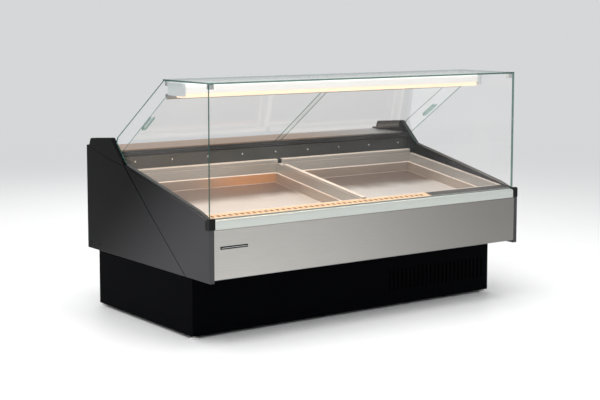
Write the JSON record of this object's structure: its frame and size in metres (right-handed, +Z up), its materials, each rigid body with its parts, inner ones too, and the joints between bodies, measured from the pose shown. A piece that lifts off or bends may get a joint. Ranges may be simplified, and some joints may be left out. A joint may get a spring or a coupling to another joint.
{
  "type": "hot food display case",
  "caption": "Serve-over heated counter with tilted stepped wells, square glass canopy, warm light bar, sliding rear doors, worktop and vented plinth.",
  "frame": {"origin": "on the floor, under the middle of the case's overall box", "axes": "+X along the counter to a customer's right, +Y from the customer's side to the staff side, +Z up"},
  "size_m": [1.927, 1.2, 1.204],
  "materials": {
    "plinth_black": "fine matt powder coat",
    "frame_steel": "grey primer",
    "foot_white": "moulded nylon",
    "latch_plated": "plated",
    "casing_galvanised": "galvanised sheet",
    "front_steel": "brushed along the length",
    "bumper_aluminium": "satin anodised",
    "end_charcoal": "fine moulded grain",
    "cap_black": "moulded",
    "channel_steel": "satin",
    "well_steel": "brushed",
    "strip_steel": "brushed, slotted",
    "blank_strip": "satin",
    "insulation_wool": "mineral wool",
    "heater_sheath": "heat-stained tube",
    "drain_plastic": "moulded pipe",
    "valve_brass": "cast",
    "lever_red": "dipped",
    "top_steel": "brushed",
    "wall_dark": "satin",
    "track_aluminium": "satin anodised",
    "door_clear": "clear",
    "pull_clear": "clear acrylic",
    "case_glass": "toughened, polished edges",
    "clip_metal": "satin chrome",
    "light_metal": "satin",
    "light_glow": "opal, warm",
    "light_cap": "moulded",
    "control_steel": "brushed",
    "knob_black": "moulded",
    "rocker_gloss": "gloss",
    "lamp_amber": "lens",
    "box_grey": "powder coat",
    "gland_grey": "moulded",
    "screw_steel": "turned"
  },
  "bodies": {
    "case": {"plinth_front": "plinth_black", "plinth_left": "plinth_black", "plinth_right": "plinth_black", "plinth_rear": "plinth_black", "base_frame": "frame_steel", "service_door_hinges": "frame_steel", "body_floor": "casing_galvanised", "rear_panel": "casing_galvanised", "front_panel": "front_steel", "bumper": "bumper_aluminium", "side_panel_left": "end_charcoal", "side_panel_right": "end_charcoal", "shoulder_left": "end_charcoal", "shoulder_right": "end_charcoal", "bumper_caps": "cap_black", "glazing_channels": "channel_steel", "well_left": "well_steel", "well_right": "well_steel", "rear_rails": "well_steel", "front_slot_strip": "strip_steel", "front_blank_strip": "blank_strip", "insulation": "insulation_wool", "heater_left": "heater_sheath", "heater_right": "heater_sheath", "drain_pipes": "drain_plastic", "drain_valve": "valve_brass", "worktop": "top_steel", "inner_rear_wall": "wall_dark", "door_track_lower": "track_aluminium", "door_track_upper": "track_aluminium", "front_glass": "case_glass", "top_glass": "case_glass", "side_glass_left": "case_glass", "side_glass_right": "case_glass", "glass_clips": "clip_metal", "light_housing": "light_metal", "light_diffuser": "light_glow", "light_end_caps": "light_cap", "rail_end_plugs": "light_cap", "control_panel": "control_steel", "indicator_lamps": "lamp_amber", "electrical_box": "box_grey", "mains_gland": "gland_grey", "panel_screws": "screw_steel"},
    "left_door": {"sliding_door_left": "door_clear", "door_pull_left": "pull_clear"},
    "right_door": {"sliding_door_right": "door_clear", "door_pull_right": "pull_clear"},
    "left_knob": {"thermostat_knob_left": "knob_black"},
    "right_knob": {"thermostat_knob_right": "knob_black"},
    "lamp_switch": {"rocker_lamp": "rocker_gloss"},
    "heat_switch": {"rocker_heat": "rocker_gloss"},
    "hatch": {"service_door": "plinth_black"},
    "hatch_latch": {"service_door_latch": "latch_plated"},
    "valve_handle": {"drain_lever": "lever_red"},
    "front_left_foot": {"foot_front_left": "foot_white"},
    "front_right_foot": {"foot_front_right": "foot_white"},
    "rear_left_foot": {"foot_rear_left": "foot_white"},
    "rear_right_foot": {"foot_rear_right": "foot_white"},
    "divider": {"divider_bar": "well_steel"}
  },
  "joints": [
    {"name": "left_door_slide", "type": "slide", "parent": "case", "child": "left_door", "axis": [1, 0, 0], "range_m": [0, 0.85]},
    {"name": "right_door_slide", "type": "slide", "parent": "case", "child": "right_door", "axis": [1, 0, 0], "range_m": [-0.85, 0]},
    {"name": "left_thermostat_turn", "type": "hinge", "parent": "case", "child": "left_knob", "pos_m": [-0.3, 0.55, 0.752], "axis": [0, -1, 0], "range_deg": [0, 270]},
    {"name": "right_thermostat_turn", "type": "hinge", "parent": "case", "child": "right_knob", "pos_m": [0.3, 0.55, 0.752], "axis": [0, -1, 0], "range_deg": [0, 270]},
    {"name": "lamp_rocker_tip", "type": "hinge", "parent": "case", "child": "lamp_switch", "pos_m": [-0.09, 0.549, 0.752], "axis": [1, 0, 0], "range_deg": [0, 16]},
    {"name": "heat_rocker_tip", "type": "hinge", "parent": "case", "child": "heat_switch", "pos_m": [0.09, 0.549, 0.752], "axis": [1, 0, 0], "range_deg": [0, 16]},
    {"name": "hatch_swing", "type": "hinge", "parent": "case", "child": "hatch", "pos_m": [-0.2185, 0.5295, 0.17], "axis": [0, 0, 1], "range_deg": [0, 100]},
    {"name": "latch_turn", "type": "hinge", "parent": "hatch", "child": "hatch_latch", "pos_m": [0.192, 0.524, 0.17], "axis": [0, -1, 0], "range_deg": [0, 90]},
    {"name": "drain_lever_turn", "type": "hinge", "parent": "case", "child": "valve_handle", "pos_m": [0, 0.435, 0.2335], "axis": [0, 0, 1], "range_deg": [0, 90]},
    {"name": "divider_lift", "type": "slide", "parent": "case", "child": "divider", "axis": [0, -0.1493, 0.9888], "range_m": [0, 0.15]},
    {"name": "front_left_foot_turn", "type": "hinge", "parent": "case", "child": "front_left_foot", "pos_m": [-0.915, -0.381, 0.02], "axis": [0, 0, 1], "range_deg": [-720, 720]},
    {"name": "front_right_foot_turn", "type": "hinge", "parent": "case", "child": "front_right_foot", "pos_m": [0.915, -0.381, 0.02], "axis": [0, 0, 1], "range_deg": [-720, 720]},
    {"name": "rear_left_foot_turn", "type": "hinge", "parent": "case", "child": "rear_left_foot", "pos_m": [-0.915, 0.499, 0.02], "axis": [0, 0, 1], "range_deg": [-720, 720]},
    {"name": "rear_right_foot_turn", "type": "hinge", "parent": "case", "child": "rear_right_foot", "pos_m": [0.915, 0.499, 0.02], "axis": [0, 0, 1], "range_deg": [-720, 720]}
  ]
}
